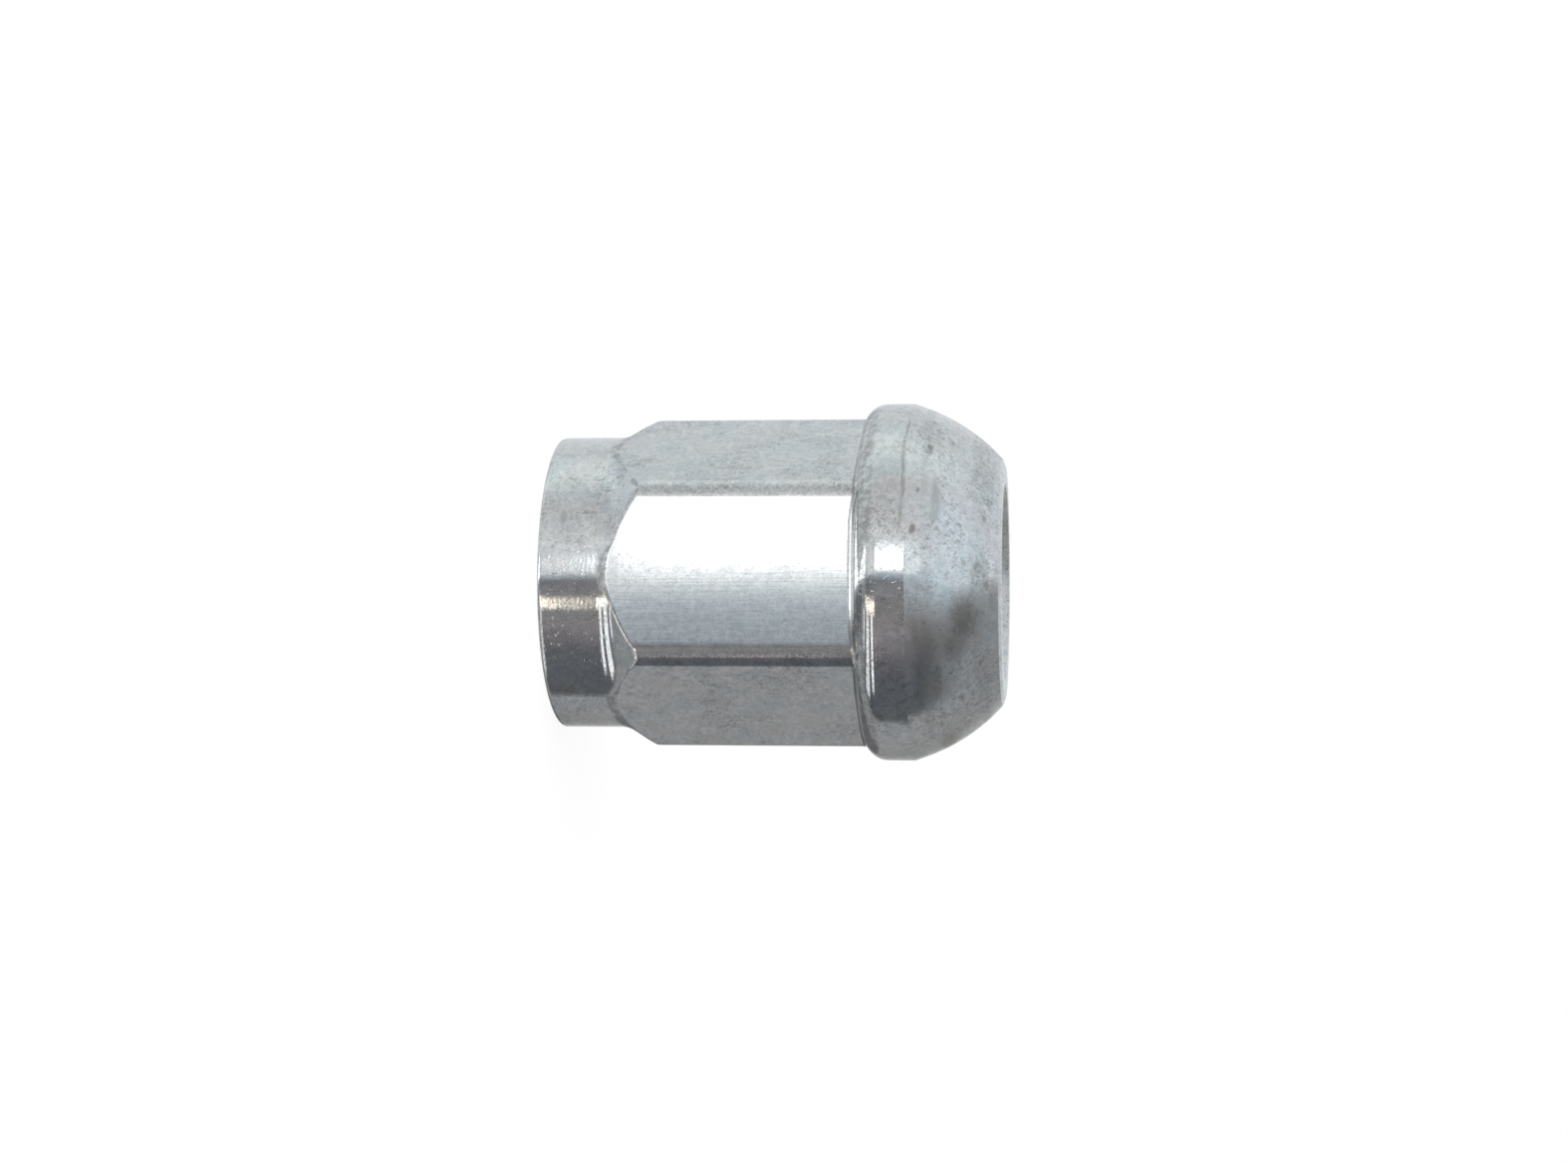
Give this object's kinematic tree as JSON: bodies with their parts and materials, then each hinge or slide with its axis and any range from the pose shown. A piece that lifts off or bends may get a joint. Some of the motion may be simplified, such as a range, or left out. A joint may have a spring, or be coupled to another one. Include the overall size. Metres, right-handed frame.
{
  "type": "closed lug nut",
  "caption": "Closed-end hexagonal wheel nut with a plain round cap, a rolled flange and a ball seat round a blind threaded hole; it clamps a wheel on its stud.",
  "frame": {"origin": "centre of the flat closed end, which the nut stands on", "axes": "+Z along the nut's axis from the closed end to the threaded mouth; -Y is the outward normal of one flat of the hexagon"},
  "size_m": [0.023, 0.023, 0.0289],
  "materials": {
    "zinc_plated_steel": "bright clear zinc plating, lightly mottled, with a fine brushed grain along the flats"
  },
  "bodies": {
    "root": {"lug_nut": "zinc_plated_steel"}
  },
  "joints": []
}
